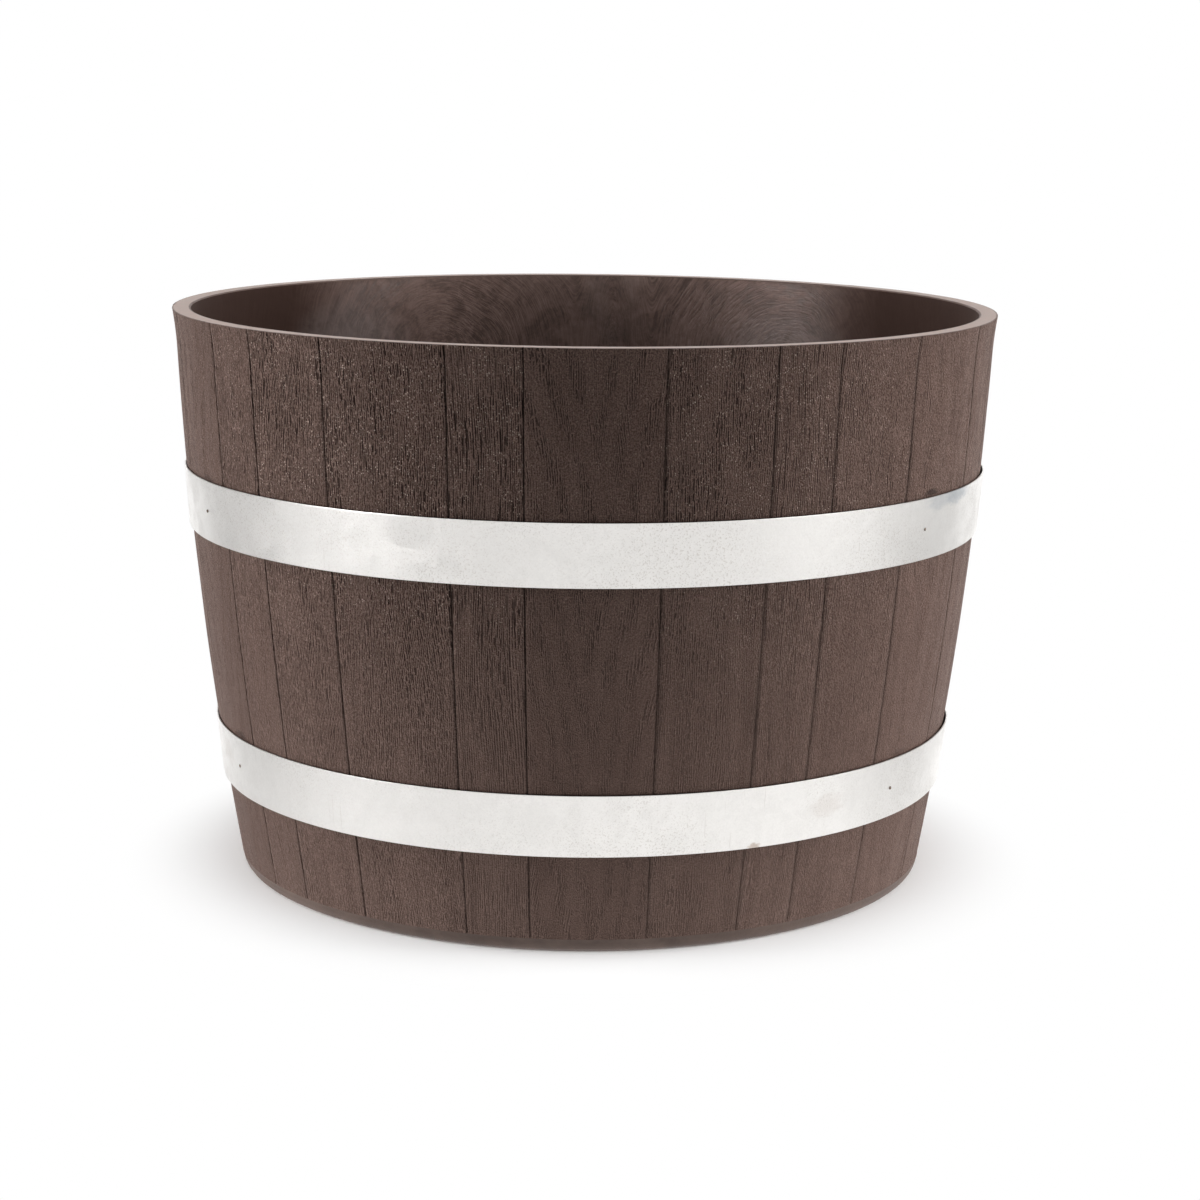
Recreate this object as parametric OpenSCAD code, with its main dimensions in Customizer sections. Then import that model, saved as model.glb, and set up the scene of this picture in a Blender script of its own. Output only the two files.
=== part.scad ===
// Half barrel planter: a moulded tub with a stave pattern and two nailed hoops of galvanised strip.
// Sizes are in mm. The origin is the centre of the foot on the ground, +Z is up.
// Angles go round the tub from its front, which faces -Y, towards +X.

/* [Tub] */
// Outer diameter across the rim
rim_d = 503; // [460:1:600]
// Outer diameter at the foot, before its edge is rounded
foot_d = 425; // [380:1:450]
// Height of the tub
tub_h = 345; // [300:1:420]
// How far the side swells beyond a straight line from foot to rim
bulge = 5.7; // [3:0.1:12]
// How far the rim turns out beyond that swell
rim_flare = 1.5; // [0:0.1:4]
// Height over which it turns out
rim_flare_h = 24; // [15:1:40]
// Thickness of the moulded wall
wall = 11.2; // [9.5:0.1:16]
// Thickness of the floor
floor_t = 9; // [6:0.5:16]
// Radius between the wall and the floor inside
floor_fillet = 14; // [6:1:25]

/* [Foot] */
// Height of the smooth rounded edge round the foot
foot_edge_h = 7.5; // [4:0.5:14]
// How far that edge draws in
foot_edge_w = 4.1; // [2:0.1:8]
// Width of the flat ring that the tub stands on
foot_ring_w = 24; // [12:1:45]
// Depth of the hollow under the floor, inside that ring
foot_recess = 4; // [2:0.5:10]

/* [Staves] */
// Angle of the first seam, at the left of the front stave
first_seam = -7.5; // [-15:0.1:15]
// Width of a moulded seam
seam_w = 1.3; // [0.8:0.1:3]
// Depth of a moulded seam
seam_depth = 1; // [0.5:0.1:2.5]

/* [Drain holes] */
// Diameter of the hole at the centre of the floor
drain_d = 14; // [8:1:24]
// Diameter of each hole in the ring
ring_drain_d = 10; // [8:1:16]
// Number of holes in the ring
ring_drains = 4; // [3:1:8]
// Diameter of the circle that the ring of holes lies on
ring_drain_pcd = 240; // [80:1:300]

/* [Hoops] */
// Width of the hoop strip
strip_w = 36; // [25:1:50]
// Thickness of the hoop strip
strip_t = 0.8; // [0.6:0.1:1.5]
// Height of the upper hoop's lower edge
upper_hoop_z = 214.5; // [170:0.5:240]
// Height of the lower hoop's lower edge
lower_hoop_z = 59; // [30:0.5:90]
// Gap between the side and a hoop's upper edge
top_gap = 0.3; // [0.2:0.1:1]
// Gap behind the upper hoop's lower edge, where the side draws in
upper_hoop_low_gap = 1; // [0.4:0.1:3]
// Gap behind the lower hoop's lower edge, where the side draws in
lower_hoop_low_gap = 1.8; // [0.4:0.1:3]

/* [Lap joint of a hoop] */
// Angle at which the outer end starts to cross the inner end
lap_angle = 196; // [185:1:215]
// Length by which the ends overlap
lap_len = 46; // [36:1:70]
// Length in which the outer end climbs over the inner end
joggle_len = 12; // [8:1:24]
// Gap between the two layers
lap_gap = 0.15; // [0.1:0.05:0.4]
// Distance between the two rivets, along the strip
rivet_pitch = 24; // [16:1:26]

/* [Rivets] */
// Diameter of a rivet's head
rivet_head_d = 8; // [6:0.5:12]
// Height of a rivet's head
rivet_head_h = 1.8; // [1:0.1:3]
// Diameter of a rivet's shank
rivet_d = 4; // [3:0.1:5]

/* [Nails] */
// Angle of the nails at the left of the front
nail_left = -64; // [-80:1:-40]
// Angle of the nails at the right of the front
nail_right = 53; // [40:1:80]
// Angle of the nails at the back
nail_back = 175; // [160:1:178]
// Diameter of a nail's head
nail_head_d = 2.6; // [2:0.1:6]
// Height of a nail's head
nail_head_h = 0.7; // [0.4:0.1:1.5]
// Diameter of a nail's shank
nail_d = 1.5; // [1:0.1:1.8]
// Length of a nail under its head
nail_len = 9; // [6:0.5:10]

/* [Hidden] */
$fn = 180;
// Round details of a few millimetres
small_fn = 32;

// Width of each stave at the rim, going round from the front one.
// The widths share out the circle, so the pattern closes at any rim diameter.
stave_widths = [77, 63, 41, 62, 76,
    42, 62, 77, 41, 58, 76, 43, 60, 78, 42, 62, 76, 41, 58, 77, 70,
    68, 42, 58, 78, 43];

// Clearance round a shank in its hole, and past a nail's tip
hole_clearance = 0.05;
tip_clearance = 0.3;
// How far a cutter runs past the face that it cuts
over = 1;
// Gap under a head that keeps its flat seat clear of the curved strip
head_gap = 0.04;

// Straight pieces that the side, the rim's flare, a fillet, a head's dome and the climb of a hoop's end
// are drawn with
side_steps = 10;
flare_steps = 4;
fillet_steps = 6;
dome_steps = 4;
joggle_steps = 5;
// Share of a climbing step that reaches back into the step before it
step_root_share = 1 / 4;
// Share of a head's height that is its upright rim, below the dome
head_rim_share = 1 / 3;
// Share of a nail's diameter that is left at its blunt tip
nail_tip_share = 1 / 5;

rim_r = rim_d / 2;
foot_r = foot_d / 2;
floor_z = foot_recess + floor_t;
ground_r = foot_r - foot_edge_w;
ring_in_r = ground_r - foot_ring_w;

// The side is one arc from the foot to the top, and the rim turns out from it
top_r = rim_r - rim_flare;
flare_z = tub_h - rim_flare_h;
side_lean = atan((top_r - foot_r) / tub_h);
side_chord = norm([top_r - foot_r, tub_h]);
arc_r = (side_chord * side_chord / 4 + bulge * bulge) / (2 * bulge);
arc_centre_r = (top_r + foot_r) / 2 - cos(side_lean) * (arc_r - bulge);
arc_centre_z = tub_h / 2 + sin(side_lean) * (arc_r - bulge);

// Outer radius of the tub at a height, and the arc's lean from upright there
function flare_at(z) = rim_flare * pow(max(z - flare_z, 0) / rim_flare_h, 2);
function side_r(z) = arc_centre_r + sqrt(arc_r * arc_r - pow(z - arc_centre_z, 2)) + flare_at(z);
function side_lean_at(z) = asin((arc_centre_z - z) / arc_r);

// Points of the side from a height up to the rim, at a distance inside its face
function side_points(z_from, inset) =
    [for (z = concat(
            [for (i = [0:side_steps]) z_from + (flare_z - z_from) * i / side_steps],
            [for (i = [1:flare_steps]) flare_z + rim_flare_h * i / flare_steps]))
        [side_r(z) - inset, z]];
function reversed(points) = [for (i = [len(points) - 1:-1:0]) points[i]];

// Rounded edge of the foot, from the ground up to the side
foot_edge_reach = side_r(foot_edge_h) - ground_r;
function foot_edge_points() =
    [for (i = [0:fillet_steps - 1]) let (a = 90 * i / fillet_steps)
        [ground_r + foot_edge_reach * sin(a), foot_edge_h * (1 - cos(a))]];

// Fillet inside, from the wall down to the floor
wall_lean = side_lean_at(floor_z + floor_fillet);
fillet_r = side_r(floor_z + floor_fillet) - wall - floor_fillet / cos(wall_lean);
fillet_z = floor_z + floor_fillet;
function fillet_points() =
    [for (i = [0:fillet_steps]) let (a = wall_lean + (90 - wall_lean) * i / fillet_steps)
        [fillet_r + floor_fillet * cos(a), fillet_z - floor_fillet * sin(a)]];

// Angle of each seam: the widths before it, shared out over the circle
function width_before(i) = i == 0 ? 0 : stave_widths[i - 1] + width_before(i - 1);
stave_total = width_before(len(stave_widths));
function seam_angle(i) = first_seam + 360 * width_before(i) / stave_total;

// Where a hoop sits, handed to the modules as [height of its lower edge, gap behind that edge]
upper_hoop_at = [upper_hoop_z, upper_hoop_low_gap];
lower_hoop_at = [lower_hoop_z, lower_hoop_low_gap];

function strip_low_r(at) = side_r(at[0]) + at[1];
function strip_top_r(at) = side_r(at[0] + strip_w) + top_gap;
function strip_mid_r(at) = (strip_low_r(at) + strip_top_r(at)) / 2;
function strip_mid_z(at) = at[0] + strip_w / 2;
function strip_lean(at) = atan((strip_top_r(at) - strip_low_r(at)) / strip_w);
// Angle that a length along the strip takes up
function strip_angle(at, length) = length / strip_mid_r(at) * 180 / PI;

// Holes that the nails and the rivets sit in
nail_hole_d = nail_d + 2 * hole_clearance;
rivet_hole_d = rivet_d + 2 * hole_clearance;

// Height of the outer layer above the inner one where the ends lap
lap_lift = strip_t + lap_gap;
// Angle of a rivet: side is -1 for the left one of the pair and 1 for the right one, seen from outside
function rivet_angle(at, side) = lap_angle + strip_angle(at, (lap_len + side * rivet_pitch) / 2);

// Puts its children on a hoop's outer face at half its width, with their +Z pointing straight out of it
module on_strip(at, angle, lift = 0) {
    rotate([0, 0, angle - 90])
        translate([strip_mid_r(at) + strip_t + lift, 0, strip_mid_z(at)])
            rotate([0, 90 + strip_lean(at), 0])
                children();
}

// A low domed head that sits on its flat underside
module domed_head(d, h) {
    rotate_extrude($fn = small_fn)
        polygon(concat(
            [[0, 0], [d / 2, 0]],
            [for (i = [0:dome_steps]) let (a = 90 * i / dome_steps)
                [d / 2 * cos(a), h * head_rim_share + h * (1 - head_rim_share) * sin(a)]]));
}

// Tub

module tub_body() {
    rotate_extrude()
        polygon(concat(
            [[0, foot_recess], [ring_in_r, foot_recess], [ring_in_r, 0]],
            foot_edge_points(),
            side_points(foot_edge_h, 0),
            reversed(side_points(fillet_z, wall)),
            fillet_points(),
            [[0, floor_z]]));
}

// One seam between two staves: it follows the side, leaves at the rim and ends above the foot's edge
module seam_cutter() {
    rotate([90, 0, 0])
        linear_extrude(seam_w, center = true)
            polygon(concat(
                side_points(foot_edge_h, seam_depth),
                [[rim_r - seam_depth, tub_h + over]],
                [[rim_r + over, tub_h + over], [rim_r + over, foot_edge_h]]));
}

module drain_cutters() {
    cut_h = floor_t + 2 * over;
    translate([0, 0, foot_recess - over])
        cylinder(d = drain_d, h = cut_h);
    for (i = [0:ring_drains - 1])
        rotate([0, 0, 360 * (i + 0.5) / ring_drains])
            translate([ring_drain_pcd / 2, 0, foot_recess - over])
                cylinder(d = ring_drain_d, h = cut_h, $fn = small_fn);
}

// Pilot hole that a nail goes into, from just outside the tub to just past the nail's tip
module nail_pilot(at, angle) {
    depth = nail_len + tip_clearance;
    on_strip(at, angle)
        translate([0, 0, -depth])
            cylinder(d = nail_hole_d, h = depth, $fn = small_fn);
}

module barrel_tub() {
    color([0.30, 0.25, 0.235])
        difference() {
            tub_body();
            for (i = [0:len(stave_widths) - 1])
                rotate([0, 0, seam_angle(i) - 90])
                    seam_cutter();
            drain_cutters();
            for (at = [upper_hoop_at, lower_hoop_at], angle = [nail_left, nail_right, nail_back])
                nail_pilot(at, angle);
        }
}

// Hoops

// A closed ring of strip, lifted off the tub by one or more layers
module strip_ring(at, lift) {
    rotate_extrude()
        polygon([
            [strip_low_r(at) + lift, at[0]],
            [strip_low_r(at) + lift + strip_t, at[0]],
            [strip_top_r(at) + lift + strip_t, at[0] + strip_w],
            [strip_top_r(at) + lift, at[0] + strip_w]]);
}

// The slice of space between two angles, past the strip on every side
module slice(at, from, to) {
    reach = rim_d;
    rotate([0, 0, from - 90])
        translate([0, 0, at[0] - over])
            linear_extrude(strip_w + 2 * over)
                polygon([[0, 0], [reach, 0], [reach * cos(to - from), reach * sin(to - from)]]);
}

// A short stretch of lifted strip between two angles
module strip_piece(at, from, to, lift) {
    intersection() {
        strip_ring(at, lift);
        slice(at, from, to);
    }
}

// One strip bent round the tub: its outer end climbs in short steps and laps over its inner end.
// Each step has a root inside the one before it.
module hoop(at) {
    lap = strip_angle(at, lap_len);
    joggle = strip_angle(at, joggle_len);
    step = joggle / joggle_steps;
    root = step * step_root_share;
    end_gap = strip_angle(at, strip_t);
    nail_hole_h = strip_t + 2 * over;
    rivet_hole_h = lap_lift + strip_t + 2 * over;
    difference() {
        union() {
            difference() {
                strip_ring(at, 0);
                slice(at, lap_angle - joggle, lap_angle + end_gap);
            }
            for (i = [1:joggle_steps - 1])
                strip_piece(at, lap_angle - joggle + step * (i - 1) - root, lap_angle - joggle + step * i,
                    lap_lift * i / joggle_steps);
            strip_piece(at, lap_angle - step - root, lap_angle + lap, lap_lift);
        }
        for (angle = [nail_left, nail_right, nail_back])
            on_strip(at, angle)
                translate([0, 0, over - nail_hole_h])
                    cylinder(d = nail_hole_d, h = nail_hole_h, $fn = small_fn);
        for (side = [-1, 1])
            on_strip(at, rivet_angle(at, side), lap_lift)
                translate([0, 0, over - rivet_hole_h])
                    cylinder(d = rivet_hole_d, h = rivet_hole_h, $fn = small_fn);
    }
}

// Nails and rivets: each shank runs up into its head's upright rim

module nail(at, angle) {
    into_head = head_gap + nail_head_h * head_rim_share;
    point_h = nail_d;
    color([0.36, 0.31, 0.28])
        on_strip(at, angle) {
            translate([0, 0, head_gap])
                domed_head(nail_head_d, nail_head_h);
            translate([0, 0, point_h - nail_len])
                cylinder(d = nail_d, h = nail_len - point_h + into_head, $fn = small_fn);
            translate([0, 0, -nail_len])
                cylinder(d1 = nail_d * nail_tip_share, d2 = nail_d, h = point_h, $fn = small_fn);
        }
}

module rivet(at, side) {
    into_head = head_gap + rivet_head_h * head_rim_share;
    shank = lap_lift + strip_t - head_gap;
    color([0.78, 0.77, 0.75])
        on_strip(at, rivet_angle(at, side), lap_lift) {
            translate([0, 0, head_gap])
                domed_head(rivet_head_d, rivet_head_h);
            translate([0, 0, -shank])
                cylinder(d = rivet_d, h = shank + into_head, $fn = small_fn);
        }
}

module upper_hoop() {
    color([0.88, 0.88, 0.87])
        hoop(upper_hoop_at);
}

module lower_hoop() {
    color([0.88, 0.88, 0.87])
        hoop(lower_hoop_at);
}

module upper_nail_left() { nail(upper_hoop_at, nail_left); }
module upper_nail_right() { nail(upper_hoop_at, nail_right); }
module upper_nail_back() { nail(upper_hoop_at, nail_back); }
module lower_nail_left() { nail(lower_hoop_at, nail_left); }
module lower_nail_right() { nail(lower_hoop_at, nail_right); }
module lower_nail_back() { nail(lower_hoop_at, nail_back); }

module upper_rivet_left() { rivet(upper_hoop_at, -1); }
module upper_rivet_right() { rivet(upper_hoop_at, 1); }
module lower_rivet_left() { rivet(lower_hoop_at, -1); }
module lower_rivet_right() { rivet(lower_hoop_at, 1); }

barrel_tub();
upper_hoop();
lower_hoop();
upper_nail_left();
upper_nail_right();
upper_nail_back();
lower_nail_left();
lower_nail_right();
lower_nail_back();
upper_rivet_left();
upper_rivet_right();
lower_rivet_left();
lower_rivet_right();
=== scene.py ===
import math
import random

import bpy
from mathutils import Matrix, Vector


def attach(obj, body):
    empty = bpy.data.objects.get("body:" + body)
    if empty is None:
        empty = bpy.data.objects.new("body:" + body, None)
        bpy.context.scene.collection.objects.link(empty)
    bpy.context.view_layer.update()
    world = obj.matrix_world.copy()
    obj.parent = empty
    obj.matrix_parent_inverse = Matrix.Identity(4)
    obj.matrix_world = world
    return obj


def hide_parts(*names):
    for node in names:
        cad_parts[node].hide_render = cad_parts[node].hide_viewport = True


# Barrel planter: a moulded tub with a stave pattern, and two hoops of galvanised strip nailed to it.
# Lengths are in metres. Angles go round from the front (-Y) towards +X, as in the CAD part.

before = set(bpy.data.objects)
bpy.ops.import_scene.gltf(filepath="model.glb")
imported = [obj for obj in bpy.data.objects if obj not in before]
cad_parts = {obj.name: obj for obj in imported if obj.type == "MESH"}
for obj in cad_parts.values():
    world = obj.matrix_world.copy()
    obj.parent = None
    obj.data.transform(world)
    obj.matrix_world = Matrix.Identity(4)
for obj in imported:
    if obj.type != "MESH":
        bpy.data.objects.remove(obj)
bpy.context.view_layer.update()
print("frame loaded:", len(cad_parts), "pieces")

fullTurn = 2 * math.pi


# Node helpers: a formula on values adds its nodes to the tree that they are in

class Value:
    # What flows out of a socket
    def __init__(self, socket):
        self.socket = socket
        self.tree = socket.id_data

    def math(self, operation, *others):
        return addValue(self.tree, "ShaderNodeMath", dict(enumerate((self,) + others)), operation=operation)

    def __add__(self, other):
        return self.math("ADD", other)

    def __sub__(self, other):
        return self.math("SUBTRACT", other)

    def __rsub__(self, other):
        return self.math("MULTIPLY_ADD", -1.0, other)

    def __mul__(self, other):
        return self.math("MULTIPLY", other)

    def __truediv__(self, other):
        return self.math("DIVIDE", other)

    def __rtruediv__(self, other):
        return self.math("POWER", -1.0) * other

    def __neg__(self):
        return self.math("MULTIPLY", -1.0)

    __radd__ = __add__


def plug(place, value):
    # Links a value to a socket, or sets the socket's own number
    if isinstance(value, Value):
        value = value.socket
    if isinstance(value, bpy.types.NodeSocket):
        place.id_data.links.new(value, place)
    else:
        place.default_value = value


def setInputs(made, inputs):
    # Inputs are found by name among those that are on, or by number
    for name, value in inputs.items():
        found = [s for s in made.inputs if s.enabled and s.name == name] or [made.inputs[name]]
        plug(found[0], value)


def addNode(tree, kind, inputs=None, **settings):
    made = tree.nodes.new(kind)
    for name, value in settings.items():
        setattr(made, name, value)
    setInputs(made, inputs or {})
    return made


def output(made, name=None):
    return Value([s for s in made.outputs if s.enabled and name in (None, s.name)][0])


def addValue(tree, kind, inputs=None, **settings):
    return output(addNode(tree, kind, inputs, **settings))


def treeOf(values):
    return [value.tree for value in values if isinstance(value, Value)][0]


def combine(x, y, z):
    return addValue(treeOf((x, y, z)), "ShaderNodeCombineXYZ", {"X": x, "Y": y, "Z": z})


def separate(vector):
    made = addNode(vector.tree, "ShaderNodeSeparateXYZ", {"Vector": vector})
    return [Value(s) for s in made.outputs]


def vectorMath(operation, *values):
    return addValue(treeOf(values), "ShaderNodeVectorMath", dict(enumerate(values)), operation=operation)


def noise(vector, scale=1.0, detail=2.0, roughness=0.5, distortion=0.0):
    return addValue(vector.tree, "ShaderNodeTexNoise", {
        "Vector": vector, "Scale": scale, "Detail": detail, "Roughness": roughness, "Distortion": distortion})


def dots(vector):
    # Scattered points: how far away the nearest is, in cells, and a chance number of its own
    made = addNode(vector.tree, "ShaderNodeTexVoronoi", {"Vector": vector, "Scale": 1.0})
    return output(made, "Distance"), separate(output(made, "Color"))[0]


def ramp(value, low, high, first=0.0, last=1.0):
    # Runs smoothly from first to last as value goes from low to high, and stays there
    return addValue(value.tree, "ShaderNodeMapRange", {
        "Value": value, "From Min": low, "From Max": high, "To Min": first, "To Max": last},
        interpolation_type="SMOOTHSTEP")


def bell(value, inner, outer, peak=1.0):
    # The peak where value is within inner of zero, and nothing beyond outer
    return ramp(value.math("ABSOLUTE"), inner, outer, peak, 0.0)


def blend(share, a, b, kind="FLOAT"):
    return addValue(share.tree, "ShaderNodeMix", {"Factor": share, "A": a, "B": b}, data_type=kind)


def blendColour(share, a, b):
    return blend(share, a, b, "RGBA")


def newTree(name, kind, inputs, outputs):
    # Each input is given as a usual value or as the word for its kind. Returns the inputs' values and the end
    tree = bpy.data.node_groups.new(name, kind)
    words = {"int": "Int", "float": "Float", "tuple": "Vector"}
    for label, value in inputs.items():
        word = type(value).__name__
        word = value if word == "str" else words.get(word, word)
        socket = tree.interface.new_socket(label, in_out="INPUT", socket_type="NodeSocket" + word)
        if isinstance(value, (int, float, tuple)):
            socket.default_value = value
    for label, word in outputs.items():
        tree.interface.new_socket(label, in_out="OUTPUT", socket_type="NodeSocket" + word)
    start = tree.nodes.new("NodeGroupInput")
    end = tree.nodes.new("NodeGroupOutput")
    return tree, {s.name: Value(s) for s in start.outputs if s.name}, end


# Geometry helpers

def pointMesh(name, points, attributes=None):
    # A mesh of bare points for a tree to sample, with a named number on each
    mesh = bpy.data.meshes.new(name)
    mesh.from_pydata(points, [], [])
    for label, values in (attributes or {}).items():
        isVector = hasattr(values[0], "__len__")
        made = mesh.attributes.new(label, "FLOAT_VECTOR" if isVector else "FLOAT", "POINT")
        for item, value in zip(made.data, values):
            setattr(item, "vector" if isVector else "value", value)
    return addObject(name, mesh)


def addObject(name, data):
    made = bpy.data.objects.new(name, data)
    bpy.context.scene.collection.objects.link(made)
    return made


def growShape(name, source, tree, settings):
    # Runs a tree on a source object and keeps its result as a plain mesh object at the origin
    modifier = source.modifiers.new("Shape", "NODES")
    modifier.node_group = tree
    for item in tree.interface.items_tree:
        if item.name in settings:
            modifier[item.identifier] = settings[item.name]
    bpy.context.view_layer.update()
    graph = bpy.context.evaluated_depsgraph_get()
    mesh = bpy.data.meshes.new_from_object(
        source.evaluated_get(graph), preserve_all_data_layers=True, depsgraph=graph)
    mesh.name = name
    source.modifiers.remove(modifier)
    bpy.data.objects.remove(source)
    if meshVolume(mesh) < 0:
        mesh.flip_normals()
    mesh.set_sharp_from_angle(angle=math.radians(38))
    print(name, "has", len(mesh.polygons), "faces")
    return addObject(name, mesh)


def meshVolume(mesh):
    mesh.calc_loop_triangles()
    corners = [[mesh.vertices[i].co for i in triangle.vertices] for triangle in mesh.loop_triangles]
    return sum(a.dot(b.cross(c)) for a, b, c in corners) / 6


def profileGridTree():
    # A grid with a row for each point of a profile and a chosen number of columns, not yet in place
    tree, given, end = newTree("profileGrid", "GeometryNodeTree", {"Profile": "Geometry", "Columns": "Int"},
                               {"Mesh": "Geometry", "Column": "Float", "Row": "Float"})
    columns = given["Columns"]
    rows = addValue(tree, "GeometryNodeAttributeDomainSize", {"Geometry": given["Profile"]}, component="MESH")
    grid = addValue(tree, "GeometryNodeMeshGrid", {
        "Size X": columns, "Size Y": rows - 1.0, "Vertices X": columns + 1.0, "Vertices Y": rows})
    x, y, z = separate(position(tree))
    kept = tree.nodes.new("GeometryNodeCaptureAttribute")
    kept.capture_items.new("FLOAT", "Column")
    kept.capture_items.new("FLOAT", "Row")
    column = (x + columns / 2.0).math("ROUND")
    row = (y + (rows - 1.0) / 2.0).math("ROUND")
    for socket, value in zip(kept.inputs, (grid, column, row)):
        plug(socket, value)
    for socket, value in zip(end.inputs, kept.outputs):
        plug(socket, value)
    return tree


def startGrid(profile, columns):
    # Returns the mesh, each point's column and row, and how far out and up its point of the profile is
    made = addNode(profile.tree, "GeometryNodeGroup", {0: profile, 1: columns}, node_tree=profileGrid)
    mesh, column, row = [Value(s) for s in made.outputs]
    out, depth, up = separate(sample(profile, position(profile.tree), row, "FLOAT_VECTOR"))
    return mesh, column, row, out, up


def sample(geometry, value, index, kind="FLOAT"):
    return addValue(geometry.tree, "GeometryNodeSampleIndex", {
        "Geometry": geometry, "Value": value, "Index": index}, data_type=kind, domain="POINT", clamp=True)


def named(tree, label, kind="FLOAT"):
    return addValue(tree, "GeometryNodeInputNamedAttribute", {"Name": label}, data_type=kind)


def store(geometry, label, value, kind, domain):
    return addValue(geometry.tree, "GeometryNodeStoreNamedAttribute", {
        "Geometry": geometry, "Name": label, "Value": value}, data_type=kind, domain=domain)


def position(tree):
    return addValue(tree, "GeometryNodeInputPosition")


def pointsOf(thing):
    return output(addNode(thing.tree, "GeometryNodeObjectInfo", {"Object": thing}), "Geometry")


def place(geometry, *where):
    return addValue(geometry.tree, "GeometryNodeSetPosition", {
        "Geometry": geometry, "Position": combine(*where)})


def merge(geometry, distance=0.000001):
    return addValue(geometry.tree, "GeometryNodeMergeByDistance", {
        "Geometry": geometry, "Distance": distance})


def paint(geometry, material, where=None):
    inputs = {"Geometry": geometry, "Material": material}
    if where is not None:
        inputs["Selection"] = where
    return addValue(geometry.tree, "GeometryNodeSetMaterial", inputs)


def realize(geometry):
    return addValue(geometry.tree, "GeometryNodeRealizeInstances", {"Geometry": geometry})


def shapeTree(name, settings):
    return newTree(name, "GeometryNodeTree", {"Profile": "Geometry", **settings}, {"Geometry": "Geometry"})


def finishTree(end, geometry, material=None):
    smooth = addValue(geometry.tree, "GeometryNodeSetShadeSmooth", {
        "Geometry": geometry, "Shade Smooth": True})
    whole = realize(smooth)
    plug(end.inputs[0], whole if material is None else paint(whole, material))


profileGrid = profileGridTree()


# Shader groups that more than one material uses

def useGroup(group, inputs):
    made = addNode(treeOf(inputs.values()), "ShaderNodeGroup", inputs, node_tree=group)
    return {s.name: Value(s) for s in made.outputs}


def cloudGroup():
    # Soft uneven patches of two sizes: 0 to 1, centred on a half
    tree, given, end = newTree(
        "clouds", "ShaderNodeTree", {"Vector": "Vector", "Size": 0.05, "Swirl": 0.6}, {"Patches": "Float"})
    where, size, swirl = given.values()
    big = noise(where, 1.0 / size, 3.0, 0.55, swirl)
    small = noise(where, 4.3 / size, 3.0, 0.6, swirl)
    plug(end.inputs["Patches"], ramp(big * 0.65 + small * 0.35, 0.36, 0.64))
    return tree


def gritGroup():
    # Fine surface texture of a moulding or a coating
    tree, given, end = newTree(
        "grit", "ShaderNodeTree", {"Vector": "Vector", "Size": 0.001}, {"Grit": "Float"})
    plug(end.inputs["Grit"], noise(given["Vector"], 1.0 / given["Size"], 3.0, 0.65))
    return tree


def spotGroup():
    # A ragged spot round a place on the piece
    tree, given, end = newTree(
        "spot", "ShaderNodeTree",
        {"Vector": "Vector", "Centre": "Vector", "Reach": (0.003,) * 3, "Ragged": 0.5}, {"Spot": "Float"})
    where, centre, reach, ragged = given.values()
    share = vectorMath("DIVIDE", vectorMath("SUBTRACT", where, centre), reach)
    rough = noise(share, 1.6, 4.0, 0.6) - 0.5
    away = vectorMath("LENGTH", share) + rough * ragged * 3.0
    plug(end.inputs["Spot"], ramp(away, 0.45, 1.15, 1.0, 0.0))
    return tree


clouds = cloudGroup()
grit = gritGroup()
spot = spotGroup()


def patchesOn(where, size, swirl):
    return useGroup(clouds, {"Vector": where, "Size": size, "Swirl": swirl})["Patches"]


def gritOn(where, size):
    return useGroup(grit, {"Vector": where, "Size": size})["Grit"]


def spotOn(where, angle, radius, z, reach):
    return useGroup(spot, {"Vector": where, "Centre": around(angle, radius, z), "Reach": reach})["Spot"]


# Sizes that the pieces share, as in the CAD part

tub = {
    "height": 0.345, "rimRadius": 0.2515, "footRadius": 0.2125, "bulge": 0.0057, "wall": 0.0112,
    "flare": 0.0015, "flareHeight": 0.024,
    "recess": 0.004, "floorTop": 0.013, "fillet": 0.014,
    "footEdge": 0.0075, "groundRadius": 0.2084, "ringInside": 0.1844,
    "drainRadius": 0.007,
}
hoops = {
    "upperHoop": {"node": "upper_hoop", "lowerEdge": 0.2145, "lowGap": 0.0010, "seed": 3},
    "lowerHoop": {"node": "lower_hoop", "lowerEdge": 0.0590, "lowGap": 0.0018, "seed": 8},
}
strip = {
    "width": 0.036, "thickness": 0.0008, "topGap": 0.0003, "edge": 0.00022,
    "lapAngle": 196.0, "lapLength": 0.046, "joggle": 0.012, "lapGap": 0.00015, "rivetPitch": 0.024,
}


def sideRadius(z):
    # Outer radius of the tub: one arc from the foot to the top, and the rim turns out from it
    topRadius = tub["rimRadius"] - tub["flare"]
    lean = math.atan((topRadius - tub["footRadius"]) / tub["height"])
    chord = math.hypot(topRadius - tub["footRadius"], tub["height"])
    arc = (chord * chord / 4 + tub["bulge"] ** 2) / (2 * tub["bulge"])
    centreRadius = (topRadius + tub["footRadius"]) / 2 - math.cos(lean) * (arc - tub["bulge"])
    centreHeight = tub["height"] / 2 + math.sin(lean) * (arc - tub["bulge"])
    turnOut = max(z - tub["height"] + tub["flareHeight"], 0.0) / tub["flareHeight"]
    return centreRadius + math.sqrt(arc * arc - (z - centreHeight) ** 2) + tub["flare"] * turnOut ** 2


def around(angle, radius, z):
    turn = math.radians(angle)
    return Vector((radius * math.sin(turn), -radius * math.cos(turn), z))


# Materials

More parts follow.
